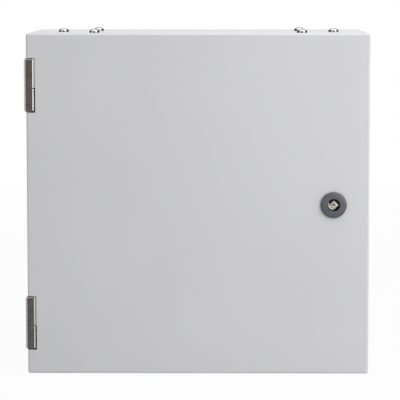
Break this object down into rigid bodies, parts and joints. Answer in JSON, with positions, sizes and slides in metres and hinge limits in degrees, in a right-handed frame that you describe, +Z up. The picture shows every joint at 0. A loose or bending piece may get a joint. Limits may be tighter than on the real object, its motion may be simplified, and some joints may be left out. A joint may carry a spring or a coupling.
{
  "type": "roadside utility cabinet",
  "caption": "Square sheet-steel cabinet for a wall or pole, with a full-front door on lift-off hinges, a key-operated quarter-turn lock and a mounting plate inside.",
  "frame": {"origin": "centre of the four wall-fixing holes, on the rear face that lies on the wall", "axes": "+X right seen from the front, +Y into the wall, +Z up; the door faces -Y"},
  "size_m": [0.4025, 0.204, 0.4045],
  "materials": {
    "shell_paint": "light grey polyester powder coat, fine texture",
    "door_paint": "light grey polyester powder coat, fine texture",
    "hinge_zinc": "bare dark phosphated steel, bright on its worn edges",
    "stainless": "drawn stainless steel",
    "zinc_plate": "hot-dip galvanised sheet",
    "zinc_fasteners": "bright zinc plate",
    "lock_casting": "dark grey glass-filled polyamide",
    "lock_nickel": "nickel-plated die casting",
    "gasket_foam": "closed-cell polyurethane foam",
    "rubber": "moulded rubber sheet",
    "nylon": "black nylon"
  },
  "bodies": {
    "cabinet": {"body_shell": "shell_paint", "entry_gasket": "rubber", "entry_plate": "zinc_plate", "entry_studs": "zinc_fasteners", "entry_washers": "zinc_fasteners", "entry_nuts": "zinc_fasteners", "mounting_plate": "zinc_plate", "plate_studs": "zinc_fasteners", "plate_washers": "zinc_fasteners", "plate_nuts": "zinc_fasteners", "roof_screws": "zinc_fasteners", "roof_plates": "zinc_plate", "roof_nuts": "zinc_fasteners", "upper_hinge_shell_half": "hinge_zinc", "lower_hinge_shell_half": "hinge_zinc", "upper_hinge_pin": "stainless", "lower_hinge_pin": "stainless", "hinge_washers": "nylon", "hinge_screws": "zinc_fasteners", "shell_earth_stud": "zinc_fasteners", "shell_earth_washer": "zinc_fasteners", "shell_earth_nut": "zinc_fasteners"},
    "door": {"door_panel": "door_paint", "door_gasket": "gasket_foam", "upper_hinge_door_half": "hinge_zinc", "lower_hinge_door_half": "hinge_zinc", "door_hinge_studs": "zinc_fasteners", "door_hinge_nuts": "zinc_fasteners", "lock_housing": "lock_casting", "lock_seal": "rubber", "lock_nut": "zinc_fasteners", "door_earth_stud": "zinc_fasteners", "door_earth_washer": "zinc_fasteners", "door_earth_nut": "zinc_fasteners"},
    "lock_core": {"lock_spindle": "lock_nickel", "lock_cam": "zinc_fasteners", "cam_washer": "zinc_fasteners", "cam_screw": "zinc_fasteners"}
  },
  "joints": [
    {"name": "door_hinge", "type": "hinge", "parent": "cabinet", "child": "door", "pos_m": [-0.19655, -0.196, 0], "axis": [0, 0, -1], "range_deg": [0, 120]},
    {"name": "lock_turn", "type": "hinge", "parent": "door", "child": "lock_core", "pos_m": [0.1582, -0.2, 0], "axis": [0, -1, 0], "range_deg": [0, 90]}
  ]
}
